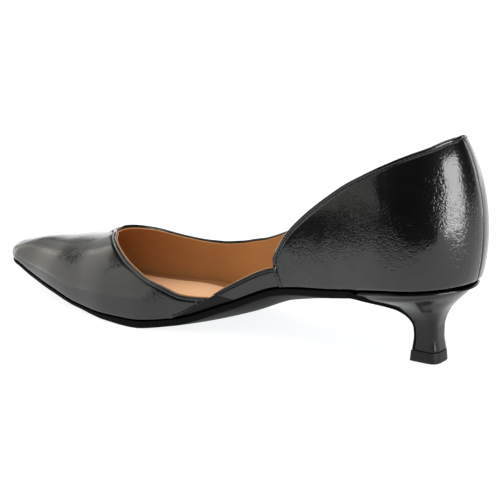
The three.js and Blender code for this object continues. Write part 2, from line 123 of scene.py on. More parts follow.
SOLE_SECTIONS = table(
    ("at", "inner", "outer", "rise", "spring", "crown", "arch", "sole"),
    (0, 0.342, 0.35, 1, 0, 0.35, 0, 0.8),
    (0.117, 0.36, 0.35, 0.922, 0, 0.4, 0, 0.9),
    (0.235, 0.311, 0.347, 0.776, 0, 0.45, 0.35, 0.95),
    (0.352, 0.272, 0.368, 0.641, 0, 0.6, 1, 0.88),
    (0.45, 0.311, 0.41, 0.342, 0, 0.55, 1, 0.9),
    (0.548, 0.429, 0.465, 0.078, 0, 0.36, 0.35, 0.92),
    (0.626, 0.496, 0.5, 0.005, 0, 0, 0, 1.02),
    (0.685, 0.488, 0.458, 0, 0, 0, 0, 0.76),
    (0.763, 0.425, 0.389, 0, 0.09, 0, 0, 0.46),
    (0.841, 0.336, 0.299, 0, 0.42, 0, 0, 0.5),
    (0.92, 0.208, 0.194, 0, 0.67, 0, 0, 0.46),
    (0.978, 0.122, 0.122, 0, 0.98, 0, 0, 0.42),
    (1, 0.09, 0.09, 0, 1, 0, 0, 0.38),
)
WALL_SECTIONS = table(
    ("at", "tall", "spread", "side", "top"),
    (0, 1.156, 0.103, 0.3, 1),
    (0.117, 1.196, 0.076, 0.45, 0.62),
    (0.235, 1.327, 0.069, 0.45, 0.62),
    (0.352, 1.224, 0.076, 0.45, 0.6),
    (0.45, 1.149, 0.069, 0.45, 0.58),
    (0.548, 0.997, 0.056, 0.45, 0.56),
    (0.626, 0.71, 0.042, 0.47, 0.56),
    (0.685, 0.57, 0.035, 0.5, 0.56),
    (0.763, 0.423, 0.031, 0.52, 0.56),
    (0.841, 0.304, 0.028, 0.55, 0.56),
    (0.92, 0.216, 0.024, 0.58, 0.42),
    (0.978, 0.124, 0.028, 0.6, 0.36),
    (1, 0.114, 0.045, 0.6, 0.36),
)

# Edges: foot is a line's station at the sole, at and up are its top end. Stations run from toe 0 to heel 1.
THROAT = 0.337
VAMP_TOPLINE = table(
    ("foot", "at", "up"),
    (0.337, 0.337, 1),
    (0.344, 0.34, 0.92),
    (0.352, 0.35, 0.84),
    (0.36, 0.359, 0.741),
    (0.367, 0.367, 0.679),
    (0.381, 0.387, 0.541),
    (0.393, 0.405, 0.438),
    (0.406, 0.424, 0.35),
    (0.418, 0.439, 0.279),
    (0.429, 0.456, 0.211),
    (0.444, 0.479, 0.126),
    (0.454, 0.494, 0.091),
    (0.467, 0.512, 0.056),
)
STRIP_TOP = table(
    ("foot", "at", "up"),
    (0.467, 0.512, 0.056),
    (0.489, 0.524, 0.076),
    (0.512, 0.538, 0.088),
    (0.537, 0.553, 0.094),
    (0.562, 0.57, 0.097),
    (0.583, 0.583, 0.096),
    (0.599, 0.592, 0.094),
)
STRIP_PANEL = table(
    ("foot", "at", "up"),
    (0.541, 0.515, 0.067),
    (0.549, 0.524, 0.077),
    (0.56, 0.538, 0.088),
    (0.572, 0.553, 0.094),
    (0.585, 0.57, 0.097),
    (0.596, 0.583, 0.096),
    (0.605, 0.592, 0.094),
    (0.624, 0.612, 0.09),
)
GUSSET_PANEL = table(
    ("foot", "at", "up"),
    (0.44, 0.495, 0.05),
    (0.467, 0.512, 0.055),
    (0.5, 0.514, 0.058),
    (0.543, 0.518, 0.06),
)
QUARTER_TOPLINE = table(
    ("foot", "at", "up"),
    (0.599, 0.592, 0.094),
    (0.605, 0.592, 0.13),
    (0.611, 0.595, 0.158),
    (0.618, 0.601, 0.187),
    (0.626, 0.608, 0.217),
    (0.636, 0.618, 0.246),
    (0.65, 0.636, 0.2845),
    (0.668, 0.658, 0.324),
    (0.688, 0.681, 0.3545),
    (0.71, 0.706, 0.381),
    (0.744, 0.743, 0.4135),
    (0.774, 0.773, 0.445),
    (0.79, 0.79, 0.469),
    (0.807, 0.806, 0.4965),
    (0.826, 0.825, 0.531),
    (0.846, 0.846, 0.568),
    (0.87, 0.87, 0.604),
    (0.894, 0.894, 0.633),
    (0.937, 0.937, 0.666),
    (1, 1, 0.678),
)
OUTER_TOPLINE = table(
    ("foot", "at", "up"),
    (0.337, 0.337, 1),
    (0.345, 0.339, 0.91),
    (0.351, 0.342, 0.825),
    (0.356, 0.346, 0.76),
    (0.362, 0.351, 0.7),
    (0.37, 0.36, 0.625),
    (0.383, 0.376, 0.505),
    (0.399, 0.395, 0.416),
    (0.416, 0.414, 0.361),
    (0.436, 0.435, 0.3275),
    (0.455, 0.454, 0.299),
    (0.476, 0.475, 0.272),
    (0.508, 0.508, 0.254),
    (0.532, 0.532, 0.25),
    (0.568, 0.568, 0.257),
    (0.618, 0.618, 0.287),
    (0.658, 0.658, 0.3265),
    (0.706, 0.706, 0.3765),
    (0.743, 0.743, 0.41),
    (0.773, 0.773, 0.4425),
    (0.79, 0.79, 0.467),
    (0.807, 0.806, 0.4945),
    (0.826, 0.825, 0.529),
    (0.846, 0.846, 0.566),
    (0.87, 0.87, 0.6025),
    (0.894, 0.894, 0.6325),
    (0.937, 0.937, 0.666),
    (1, 1, 0.678),
)
HEEL_LEVELS = table(
    ("at", "ahead", "rise", "behind", "lift", "front", "middle", "square"),
    (0, 0.026, 0, 0.06, 0, 0.018, 0.03, 3.8),
    (0.14, 0, 0.249, 0, 0.188, 0, 0, 3.8),
    (0.24, 0, 0.407, 0, 0.316, 0.03, 0.025, 3.6),
    (0.33, 0.039, 0.538, 0.05, 0.433, 0.089, 0.085, 3.2),
    (0.42, 0.116, 0.654, 0.17, 0.558, 0.2, 0.22, 2.7),
    (0.52, 0.27, 0.755, 0.385, 0.678, 0.33, 0.42, 2.3),
    (0.65, 0.5, 0.816, 0.63, 0.791, 0.47, 0.63, 2),
    (0.8, 0.725, 0.875, 0.83, 0.887, 0.66, 0.82, 2),
    (0.93, 0.915, 0.94, 0.935, 0.942, 0.862, 0.915, 2),
    (1, 1, 1, 0.98, 0.97, 0.97, 0.96, 2),
)
WIDEST = 0.55
BOW_FROM = 0.6
FLAP_FROM = 0.78
HEEL_TOP_LEVEL = 0.93


def curve(rows, key, name):
    """Smooth value along a table: a cubic through the rows that doesn't overshoot them"""
    xs = rows[key]
    ys = rows[name]
    steps = np.diff(xs)
    rates = np.diff(ys) / steps
    slopes = np.zeros(len(xs))
    slopes[0] = rates[0]
    slopes[-1] = rates[-1]
    for i in range(1, len(xs) - 1):
        if rates[i - 1] * rates[i] > 0:
            before = 2 * steps[i] + steps[i - 1]
            after = steps[i] + 2 * steps[i - 1]
            slopes[i] = (before + after) / (before / rates[i - 1] + after / rates[i])

    def value(x):
        i = np.clip(np.searchsorted(xs, x) - 1, 0, len(steps) - 1)
        t = np.clip((x - xs[i]) / steps[i], 0, 1)
        rest = 1 - t
        ends = ys[i] * (1 + 2 * t) * rest * rest + ys[i + 1] * t * t * (3 - 2 * t)
        return ends + steps[i] * t * rest * (slopes[i] * rest - slopes[i + 1] * t)

    return value


section = {}
for rows in (SOLE_SECTIONS, WALL_SECTIONS):
    for name in list(rows)[1:]:
        section[name] = curve(rows, "at", name)
heel_at = {name: curve(HEEL_LEVELS, "at", name) for name in list(HEEL_LEVELS)[1:]}


def unit(v):
    return v / np.maximum(np.linalg.norm(v, axis=-1, keepdims=True), 1e-12)


def smooth(x, low, high):
    t = np.clip((x - low) / (high - low), 0, 1)
    return t * t * (3 - 2 * t)


def vec(x, y, z):
    return np.stack(np.broadcast_arrays(x, y, z), -1).astype(float)


# The last
def round_ends(x):
    heel = 1 - np.minimum(x / HEEL_ROUND, 1)
    toe = 1 - np.minimum((LENGTH - x) / TOE_ROUND, 1)
    return np.sqrt(np.maximum(0, 1 - heel * heel)) * np.sqrt(np.maximum(0, 1 - toe * toe))


def half_share(side, x):
    at = x / LENGTH
    return np.where(np.asarray(side) > 0, section["inner"](at), section["outer"](at))


def half_width(side, x):
    return BALL_WIDTH * half_share(side, x) * round_ends(x)


def edge_height(x):
    return SOLE + HEEL_RISE * section["rise"](x / LENGTH) + TOE_SPRING * section["spring"](x / LENGTH)


def bed_height(x, y):
    half = half_width(np.where(y < 0, OUTER, INNER), x)
    across = np.clip(np.where(half > 1e-9, y / np.maximum(half, 1e-9), 0), -1, 1)
    outer_drop = ARCH * section["arch"](x / LENGTH) * (1 - across) / 2
    hang = CROWN * section["crown"](x / LENGTH) * round_ends(x) * (1 - across * across)
    return edge_height(x) - outer_drop - hang


def station_x(station):
    return LENGTH * (1 + np.cos(np.pi * station)) / 2


def sole_line(side, station):
    x = station_x(station)
    y = side * half_width(side, x)
    return vec(x, y, bed_height(x, y))


def out_of_sole_line(side, station):
    s = np.clip(station, TINY, 1 - TINY)
    along = sole_line(side, s + TINY) - sole_line(side, s - TINY)
    out = unit(vec(along[..., 1] * side, -along[..., 0] * side, 0))
    ends = (station < TINY)[..., None] * vec(1, 0, 0) - (station > 1 - TINY)[..., None] * vec(1, 0, 0)
    middle = (station >= TINY) & (station <= 1 - TINY)
    return np.where(middle[..., None], out, ends)


def last_point(side, station, up):
    """From the sole line up the wall to the ridge along the top"""
    foot = sole_line(side, station)
    start = HEEL_SLOPE + (LENGTH - TOE_SLOPE - HEEL_SLOPE) * (1 + np.cos(np.pi * station)) / 2

    def ridge_height(x):
        return edge_height(x) + INSTEP * section["tall"](x / LENGTH)

    top = ridge_height(start)
    slope = (ridge_height(start + TINY) - ridge_height(start - TINY)) / (2 * TINY)
    at = foot[..., 0] / LENGTH
    ridge = vec(start, 0, top)
    low = foot + out_of_sole_line(side, station) * (BALL_WIDTH * section["spread"](at))[..., None]
    low[..., 2] += section["side"](at) * (top - foot[..., 2])
    back = foot[..., 0] - start
    high = ridge + vec(back, foot[..., 1], slope * back) * section["top"](at)[..., None]
    t = np.asarray(up, float)[..., None]
    rest = 1 - t
    return foot * rest**3 + 3 * low * rest**2 * t + 3 * high * rest * t**2 + ridge * t**3


def outward_at(side, station, up):
    s = np.clip(station, 3 * TINY, 1 - 3 * TINY)
    v = np.clip(up, TINY, 1 - 3 * TINY)
    along = last_point(side, s + TINY, v) - last_point(side, s - TINY, v)
    rising = last_point(side, s, v + TINY) - last_point(side, s, v - TINY)
    return unit(np.cross(along, rising) * np.asarray(side, float)[..., None])


def wall_point(side, station, up, depth):
    """A point under the surface of the upper. On the centre line both sides give the same point."""
    side, station, up, depth = np.broadcast_arrays(side, station, up, depth)
    outward = outward_at(side, station, up)
    centre = (station <= 0) | (station >= 1) | (up >= 1)
    shared = outward + outward_at(-side, station, up)
    shared[..., 1] = 0
    outward = np.where(centre[..., None], unit(shared), outward)
    return last_point(side, station, up) - outward * depth[..., None]


# Where the last lies in the frame: its toe tip carries the insole's tip,
# and its width is centred as the insole's is
toe_gap = WALL + GAP
insole_low, insole_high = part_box("insole")
probe = np.linspace(0.3, 0.5, 400)
widths = [float(half_width(side, station_x(probe)).max()) for side in (INNER, OUTER)]
SHIFT = np.array(
    [
        insole_high.x / MM - (LENGTH - toe_gap),
        (insole_low.y + insole_high.y) / (2 * MM) - (widths[0] - widths[1]) / 2,
        0,
    ]
)


# Making meshes
def sheet(rows):
    """A grid laid over rows of points, in millimetres on the last"""
    bpy.ops.object.select_all(action="DESELECT")
    down, across = rows.shape[:2]
    bpy.ops.mesh.primitive_grid_add(x_subdivisions=across - 1, y_subdivisions=down - 1, size=1)
    piece = bpy.context.object
    piece.data.vertices.foreach_set("co", ((rows + SHIFT) * MM).ravel())
    piece.data.update()
    return piece


def join(name, pieces):
    """One closed body from sheets that share their borders"""
    bpy.ops.object.select_all(action="DESELECT")
    for piece in pieces:
        piece.select_set(True)
    bpy.context.view_layer.objects.active = pieces[0]
    if len(pieces) > 1:
        bpy.ops.object.join()
    body = bpy.context.object
    body.name = name
    body.data.name = name
    bpy.ops.object.mode_set(mode="EDIT")
    bpy.ops.mesh.select_all(action="SELECT")
    bpy.ops.mesh.remove_doubles(threshold=WELD)
    bpy.ops.mesh.dissolve_degenerate(threshold=WELD)
    bpy.ops.mesh.select_all(action="SELECT")
    bpy.ops.mesh.normals_make_consistent(inside=False)
    bpy.ops.object.mode_set(mode="OBJECT")
    bpy.ops.object.shade_smooth()
    return body


def distance(points, line):
    """How far each point lies from a line of points"""
    dense = [line[0]]
    for a, b in zip(line[:-1], line[1:]):
        count = max(1, int(np.linalg.norm(b - a) / 0.1))
        dense.extend(a + (b - a) * (i + 1) / count for i in range(count))
    tree = kdtree.KDTree(len(dense))
    for i, p in enumerate(dense):
        tree.insert(p, i)
    tree.balance()
    flat = points.reshape(-1, 3)
    return np.array([tree.find(p)[2] for p in flat]).reshape(points.shape[:-1])


# Rows of a panel: distances from its foot and from its top edge, close together where the leather turns
NEAR_FOOT = np.array([0, 0.06, 0.2, 0.42, 0.75, 1.15, 1.65, 2.3])
NEAR_TOP = np.array([3.6, 3.0, 2.6, 2.35, 2.1, 1.9, 1.7, 1.45, 1.2, 0.95, 0.7, 0.48, 0.3, 0.16, 0.05, 0])


def columns(side, rows, count, bunch=1.0, first=0.0):
    """Lines up the wall along a table, closer together at its first row where bunch is over 1"""
    t = np.linspace(0, 1, count + 1) ** bunch
    foot = rows["foot"][0] + (rows["foot"][-1] - rows["foot"][0]) * t
    keep = foot >= first
    foot = foot[keep]
    at = curve(rows, "foot", "at")(foot)
    up = curve(rows, "foot", "up")(foot)
    return np.stack([np.full(len(foot), float(side)), foot, at, up], 1)


def toe_columns(side, count):
    s = np.linspace(0, THROAT, count + 1)
    return np.stack([np.full(len(s), float(side)), s, s, np.ones(len(s))], 1)


def grid(lines, middle, trim=0.0, start=0.0):
    """Stations and heights of a panel's points: one row of the result for each line up the wall"""
    fine = np.linspace(0, 1.1, 120)
    side, foot, at, up = (lines[:, i][:, None] for i in range(4))
    points = last_point(side + 0 * fine, foot + (at - foot) * fine, np.minimum(up * fine, 1))
    lengths = np.cumsum(np.linalg.norm(np.diff(points, axis=1), axis=-1), axis=1)
    lengths = np.concatenate([np.zeros((len(lines), 1)), lengths], 1)
    trims = np.broadcast_to(trim, len(lines))
    shares = np.zeros((len(lines), len(NEAR_FOOT) + len(NEAR_TOP) + middle))
    for i, travel in enumerate(lengths):
        whole = np.interp(1, fine, travel) - trims[i]
        tight = min(1, 0.9 * (whole - start) / (NEAR_FOOT[-1] + NEAR_TOP[0]))
        low = start + NEAR_FOOT * tight
        high = whole - NEAR_TOP * tight
        between = np.linspace(low[-1], high[0], middle + 2)[1:-1]
        shares[i] = np.interp(np.concatenate([low, between, high]), travel, fine)
    if np.all(trims == 0):
        shares[:, -1] = 1
    return side + 0 * shares, foot + (at - foot) * shares, up * shares


def fade(d, reach):
    """1 at an edge, 0 at the reach, falling like a quarter of a circle"""
    near = np.clip(1 - d / reach, 0, 1)
    return 1 - np.sqrt(1 - near * near)


def waviness(points):
    """Slow swells of lasted leather"""
    flat = points.reshape(-1, 3)
    wave = [
        0.05 * noise.noise(Vector(p) / 16.0) + 0.02 * noise.noise(Vector(p) / 6.0 + Vector((7, 3, 1)))
        for p in flat
    ]
    return np.array(wave).reshape(points.shape[:-1])


# Creases placed one by one: ends as side, station, height, then depth and half width in millimetres
CREASES = [
    (INNER, 0.775, 0.36, 0.80, 0.35, 0.10, 1.2),
    (INNER, 0.80, 0.35, 0.83, 0.33, 0.08, 1.0),
    (INNER, 0.70, 0.30, 0.72, 0.22, 0.10, 2.0),
    (INNER, 0.73, 0.33, 0.745, 0.24, 0.08, 2.0),
    (INNER, 0.655, 0.24, 0.665, 0.17, 0.10, 2.2),
    (INNER, 0.36, 0.45, 0.40, 0.25, 0.10, 4.0),
    (INNER, 0.30, 0.55, 0.33, 0.25, 0.08, 4.5),
]


def creases(points):
    """Soft troughs along the creases"""
    total = np.zeros(points.shape[:-1])
    for side, s0, v0, s1, v1, deep, wide in CREASES:
        a = last_point(np.array(side), np.array(s0), np.array(v0))
        b = last_point(np.array(side), np.array(s1), np.array(v1))
        along = b - a
        t = np.clip(((points - a) @ along) / (along @ along), 0, 1)
        away = np.linalg.norm(points - a - t[..., None] * along, axis=-1)
        total += deep * np.exp(-((away / wide) ** 2)) * (0.35 + 0.65 * np.sin(np.pi * t))
    return total


def leather_panel(name, lines, middle, base, leather, edges, trim=0.0, swell=FOLD_SWELL, soft=True):
    """A panel with folded edges. edges: (line of points, reach, stitch inset or None) for each border.
    leather: thickness, a number or a function of the points."""
    side, station, up = grid(lines, middle, trim)
    surface = last_point(side, station, np.minimum(up, 1))
    thick = leather(surface) if callable(leather) else np.full(surface.shape[:-1], float(leather))
    meet = thick / 2
    turned = np.zeros(surface.shape[:-1])
    lift = np.zeros(surface.shape[:-1])
    for line, reach, inset, mask in edges:
        d = distance(surface, line)
        d[mask] = 0
        turned = np.maximum(turned, fade(d, reach))
        if inset:
            lift += swell * smooth(d, 0, 0.5) * (1 - smooth(d, inset - 0.8, inset + 0.1))
            lift -= CHANNEL * np.exp(-(((d - inset) / 0.42) ** 2))
    d_foot = distance(surface, last_point(lines[:, 0], lines[:, 1], np.zeros(len(lines))))
    d_foot[:, 0] = 0
    reach_foot = FEATHER_FORE + (FEATHER_HEEL - FEATHER_FORE) * smooth(station, 0.6, 0.75)
    turned_foot = fade(d_foot, reach_foot)
    foot_wins = turned_foot >= turned
    meet = np.where(foot_wins, np.minimum(1.2, thick), meet)
    turned = np.maximum(turned, turned_foot)
    rough = (waviness(surface) - creases(surface)) * (1 - turned) if soft else 0
    outer = base + meet * turned - (lift + rough) * (1 - turned)
    inner = base + thick - (thick - meet) * turned
    hem = sole_line(lines[:, 0], lines[:, 1]) - out_of_sole_line(lines[:, 0], lines[:, 1]) * MARGIN
    hem[:, 2] = bed_height(hem[:, 0], hem[:, 1]) - HEM_DROP
    sheets = []
    for depth in (outer, inner):
        rows = wall_point(side, station, up, depth)
        rows[:, 0] = hem
        sheets.append(sheet(rows))
    return join(name, sheets)


def top_line(lines):
    return last_point(lines[:, 0], lines[:, 2], lines[:, 3])


def column_line(line, count=80):
    share = np.linspace(0, 1, count)
    side, foot, at, up = line
    return last_point(np.full(count, side), foot + (at - foot) * share, up * share)


def column_places(line, low, high, count=60):
    """Side, station and height along part of a line up the wall"""
    share = np.linspace(low, high, count)
    side, foot, at, up = line
    return np.stack([np.full(count, side), foot + (at - foot) * share, up * share], 1)


def masks(lines, rows, top=None, first=False, last=False):
    """Which points of a panel's grid lie on an edge"""
    mask = np.zeros((len(lines), rows), bool)
    if top is not None:
        mask[top, -1] = True
    if first:
        mask[0, :] = True
    if last:
        mask[-1, :] = True
    return mask


def skived_near(line):
    """Thin where a panel lies over the waist strip, full further away"""
    def thickness(points):
        return SKIVED + (LEATHER - SKIVED) * smooth(distance(points, line), 7, 12)
    return thickness


def make_vamp():
    """Vamp and closed outer side in one piece, from the back seam round the toe to the inner cut-away"""
    middle = 34
    outer = columns(OUTER, OUTER_TOPLINE, 170)[::-1]
    toe_outer = toe_columns(OUTER, 70)[::-1][1:]
    toe_inner = toe_columns(INNER, 70)[1:]
    t = 1 - (1 - np.linspace(0, 1, 111)) ** 1.5
    foot = VAMP_TOPLINE["foot"][0] + (VAMP_TOPLINE["foot"][-1] - VAMP_TOPLINE["foot"][0]) * t
    at = curve(VAMP_TOPLINE, "foot", "at")(foot)
    up = curve(VAMP_TOPLINE, "foot", "up")(foot)
    inner = np.stack([np.full(len(foot), 1.0), foot, at, up], 1)[1:]
    lines = np.concatenate([outer, toe_outer, toe_inner, inner])
    rows = len(NEAR_FOOT) + len(NEAR_TOP) + middle
    outer_open = np.arange(len(outer))
    inner_open = np.arange(len(lines) - len(inner) - 1, len(lines))
    back_edge = column_line(lines[-1])
    edges = [
        (top_line(outer), FOLD_ROUND, STITCH_INSET, masks(lines, rows, top=outer_open)),
        (top_line(lines[inner_open]), FOLD_ROUND, STITCH_INSET, masks(lines, rows, top=inner_open)),
        (back_edge, SEAM_ROUND, BACK_INSET, masks(lines, rows, last=True)),
        (column_line(lines[0]), SEAM_ROUND, None, masks(lines, rows, first=True)),
    ]
    body = leather_panel("vamp", lines, middle, 0, skived_near(back_edge), edges)
    back = column_places(lines[-1], 0.1, 0.97)
    runs = [(lines[outer_open][:, [0, 2, 3]], -1), (lines[inner_open][:, [0, 2, 3]], -1)]
    return body, runs, back


def make_quarter():
    """Inner quarter round the heel, with its curved front edge"""
    middle = 34
    lines = columns(INNER, QUARTER_TOPLINE, 230, bunch=1.7)
    rows = len(NEAR_FOOT) + len(NEAR_TOP) + middle
    front = column_line(lines[0])
    edges = [
        (top_line(lines), FOLD_ROUND, STITCH_INSET, masks(lines, rows, top=np.arange(len(lines)))),
        (front, FOLD_ROUND, STITCH_INSET, masks(lines, rows, first=True)),
        (column_line(lines[-1]), SEAM_ROUND, None, masks(lines, rows, last=True)),
    ]
    body = leather_panel("quarter", lines, middle, 0, skived_near(front), edges)
    return body, lines[:, [0, 2, 3]], column_places(lines[0], 0.06, 1), column_places(lines[-1], 0.04, 0.97)


def make_strip():
    """Low band along the inner waist, under the vamp's corner and the quarter"""
    middle = 12
    lines = columns(INNER, STRIP_PANEL, 110)
    rows = len(NEAR_FOOT) + len(NEAR_TOP) + middle
    edges = [
        (top_line(lines), 0.4, STRIP_INSET, masks(lines, rows, top=np.arange(len(lines)))),
        (column_line(lines[0]), 0.4, None, masks(lines, rows, first=True)),
        (column_line(lines[-1]), 0.3, None, masks(lines, rows, last=True)),
    ]
    body = leather_panel("waist_strip", lines, middle, STRIP_DEPTH, STRIP_LEATHER, edges, swell=0.4)
    return body, lines[:, [0, 2, 3]]


def make_gusset():
    """Dark piece that shows between the vamp and the strip"""
    middle = 8
    lines = columns(INNER, GUSSET_PANEL, 40)
    rows = len(NEAR_FOOT) + len(NEAR_TOP) + middle
    edges = [
        (top_line(lines), 0.15, None, masks(lines, rows, top=np.arange(len(lines)))),
        (column_line(lines[0]), 0.15, None, masks(lines, rows, first=True)),
        (column_line(lines[-1]), 0.15, None, masks(lines, rows, last=True)),
    ]
    return leather_panel("gusset", lines, middle, GUSSET_DEPTH, GUSSET_LEATHER, edges, soft=False)


def make_lining():
    """Tan lining all the way round. Its cut edge shows inside the folded edges."""
    middle = 22
    outer = columns(OUTER, OUTER_TOPLINE, 150)[::-1]
    toe = np.concatenate([toe_columns(OUTER, 60)[::-1][1:], toe_columns(INNER, 60)[1:]])
    vamp_side = columns(INNER, VAMP_TOPLINE, 80)[1:]
    strip_side = columns(INNER, STRIP_TOP, 50)[1:]
    quarter_side = columns(INNER, QUARTER_TOPLINE, 150, bunch=1.5)[1:]
    lines = np.concatenate([outer, toe, vamp_side, strip_side, quarter_side])
    trims = np.concatenate(
        [
            0.9 - 1.1 * smooth(np.arange(len(outer)), len(outer) - 30, len(outer) - 4),
            np.zeros(len(toe)),
            np.full(len(vamp_side), -0.2),
            np.full(len(strip_side), -0.3),
            -0.3 + 1.5 * smooth(np.arange(len(quarter_side)), 0, 12),
        ]
    )
    side, station, up = grid(lines, middle, trims, LINING_FOOT)
    closed = np.arange(len(outer), len(outer) + len(toe))
    station[closed, -1] = lines[closed, 2]
    up[closed, -1] = 1
    surface = last_point(side, station, np.minimum(up, 1))
    turned = np.zeros(surface.shape[:-1])
    rims = []
    for part in (np.arange(len(outer)), np.arange(len(outer) + len(toe), len(lines))):
        rims.append(surface[part, -1])
        d = distance(surface, rims[-1])
        d[part, -1] = 0
        turned = np.maximum(turned, fade(d, 0.15))
    turned[:, 0] = 1
    swell = 0.3 * waviness(surface)
    front = LEATHER + LINING / 2 * turned
    back = LEATHER + LINING - LINING / 2 * turned - swell * (1 - turned)
    sheets = [sheet(wall_point(side, station, np.minimum(up, 1), depth)) for depth in (front, back)]
    return join("lining", sheets), rims


# Bottom pieces
def across_sole(station, inset, height, shares):
    """One row across the sole, drawn in by an inset, at a height over the bed"""
    ends = []
    for side in (OUTER, INNER):
        at = np.array(float(station))
        ends.append(sole_line(side, at) - out_of_sole_line(side, at) * inset)
    points = ends[0] + (ends[1] - ends[0]) * shares[:, None]
    points[:, 2] = bed_height(points[:, 0], points[:, 1]) + height
    return points


def sole_thickness(x):
    return SOLE * section["sole"](x / LENGTH)


def corner(radius, steps=5):
    """Inset and drop of a rounded corner, from its flat to its side"""
    angle = np.linspace(0, np.pi / 2, steps)
    return list(zip(radius * (1 - np.sin(angle)), radius * (1 - np.cos(angle))))


def make_sock():
    """Insole with its covering: crowned like the last, its top edge rounded"""
    seat = math.acos(2 * SEAT_LENGTH / LENGTH - 1) / math.pi
    stations = np.concatenate([np.linspace(0, seat, 150), np.linspace(seat, 1, 60)[1:]])
    shares = np.linspace(0, 1, 41)
    top_corner = corner(0.7)
    loops = []
    for station in stations:
        loop = [across_sole(station, WALL + GAP + top_corner[0][0], INSOLE, shares)]
        for inset, drop in top_corner[1:]:
            loop.append(across_sole(station, WALL + GAP + inset, INSOLE - drop, np.array([1.0])))
        loop.append(across_sole(station, WALL + GAP, 0.02, shares[::-1]))
        for inset, drop in top_corner[1:][::-1]:
            loop.append(across_sole(station, WALL + GAP + inset, INSOLE - drop, np.array([0.0])))
        loop.append(loop[0][:1])
        loops.append(np.concatenate(loop))
    return join("sock", [sheet(np.array(loops))])


sole_under_seat = float(edge_height(SEAT_LENGTH)) - GAP - float(sole_thickness(SEAT_LENGTH))
heel_foot = LIFT + GAP


def flap_thickness(level):
    full = float(sole_thickness(SEAT_LENGTH))
    return FLAP + (full - FLAP) * float(smooth(level, FLAP_FROM, 1))


def heel_front(level, depth):
    def place(at):
        x = NECK_BACK + NECK_LENGTH
        x += (SEAT_LENGTH - x) * heel_at["ahead"](at)
        return np.array([x, heel_foot + (sole_under_seat - heel_foot) * heel_at["rise"](at)])

    along = unit(place(min(level + TINY, 1)) - place(max(level - TINY, 0)))
    point = place(level)
    return point[0] - along[1] * depth, max(point[1] + along[0] * depth, heel_foot)


def seat_half(side, x):
    width = BALL_WIDTH * half_share(side, x)
    return (width - SEAT_INSET) * round_ends(x - SEAT_INSET)


def heel_half(side, level, place):
    seat = float(seat_half(side, SEAT_LENGTH))
    return NECK_WIDTH / 2 + (seat - NECK_WIDTH / 2) * float(heel_at[place](level))


def front_row(level, depth, shares, inset=0.0):
    """Across the front of the heel, from outer to inner corner, hanging like the waist at the top"""
    x, z = heel_front(level, depth)
    hang = CROWN * float(section["crown"](SEAT_LENGTH / LENGTH)) * float(smooth(level, BOW_FROM, 1))
    over = 2 * shares - 1
    halves = np.where(over < 0, heel_half(OUTER, level, "front"), heel_half(INNER, level, "front")) - inset
    return vec(x, over * halves, z - hang * (1 - over * over))


def make_sole():
    """Outsole: forepart, crowned waist and the flap down the front of the heel"""
    seat = math.acos(2 * SEAT_LENGTH / LENGTH - 1) / math.pi
    shares = np.linspace(0, 1, 41)
    loops = []

    def loop_of(place, thick):
        top = corner(min(0.25, 0.3 * thick))
        bottom = corner(min(0.7, 0.4 * thick))
        side_points = [(inset, drop) for inset, drop in top[1:]]
        side_points += [(inset, thick - drop) for inset, drop in bottom[::-1][:-1]]
        loop = [place(top[0][0], 0, shares)]
        loop += [place(inset, down, np.array([1.0])) for inset, down in side_points]
        loop.append(place(bottom[0][0], thick, shares[::-1]))
        loop += [place(inset, down, np.array([0.0])) for inset, down in side_points[::-1]]
        loop.append(loop[0][:1])
        return np.concatenate(loop)

    for station in np.linspace(0, seat, 190):
        def place(inset, down, across, station=station):
            row = across_sole(station, inset, -GAP - down, across)
            row[:, 2] = np.maximum(row[:, 2], 0)
            return row
        loops.append(loop_of(place, float(sole_thickness(station_x(station)))))
    for level in np.linspace(HEEL_TOP_LEVEL, 0, 60):
        thick = flap_thickness(level)

        def place(inset, down, across, level=level, thick=thick):
            return front_row(level, thick - down, across, inset)
        loops.append(loop_of(place, thick))
    last = loops[-1]
    centre = np.broadcast_to(last.mean(0), last.shape)
    first_centre = np.broadcast_to(loops[0].mean(0), last.shape)
    return join("sole", [sheet(np.array([first_centre] + loops + [centre]))])


FRONT_POINTS = 25  # across the front of the heel
HEEL_SHARES = 1 - np.cos(np.linspace(0, 1, 45) * math.pi / 2)


def around(side_line, front):
    return np.concatenate([side_line(INNER)[::-1], side_line(OUTER)[1:], front[1:]])


def heel_ring(level, depth, inset=0.0):
    front = front_row(level, depth, np.linspace(0, 1, FRONT_POINTS), inset)
    end_x, end_z = front[0, 0], front[0, 2]
    top = float(edge_height(0)) - GAP
    back_x = NECK_BACK + (SEAT_INSET - NECK_BACK) * float(heel_at["behind"](level)) + inset
    back_z = heel_foot + (top - heel_foot) * float(heel_at["lift"](level))
    power = float(heel_at["square"](level))

    def side_line(side):
        middle = heel_half(side, level, "middle") - inset
        end = heel_half(side, level, "front") - inset
        near = np.maximum(0, 1 - HEEL_SHARES / WIDEST)
        body = middle * (1 - near**power) ** (1 / power)
        taper = np.maximum(0, (HEEL_SHARES - WIDEST) / (1 - WIDEST)) ** 2
        x = back_x + (end_x - back_x) * HEEL_SHARES
        z = back_z + (end_z - back_z) * HEEL_SHARES
        return vec(x, side * (body - (middle - end) * taper), z)

    return around(side_line, front)


def seat_ring(inward, drop=0.0):
    front_x = heel_front(HEEL_TOP_LEVEL, flap_thickness(HEEL_TOP_LEVEL) + GAP)[0]
    middle = SEAT_INSET + (front_x - SEAT_INSET) * WIDEST

    def place(x, over):
        side = np.where(over < 0, OUTER, INNER)
        near = x + (middle - x) * inward
        y = over * seat_half(side, x) * (1 - inward)
        return vec(near, y, bed_height(near, y) - GAP - drop)

    def side_line(side):
        x = SEAT_INSET + (front_x - SEAT_INSET) * HEEL_SHARES
        return place(x, np.full(len(x), float(side)))

    return around(side_line, place(np.full(FRONT_POINTS, front_x), np.linspace(-1, 1, FRONT_POINTS)))


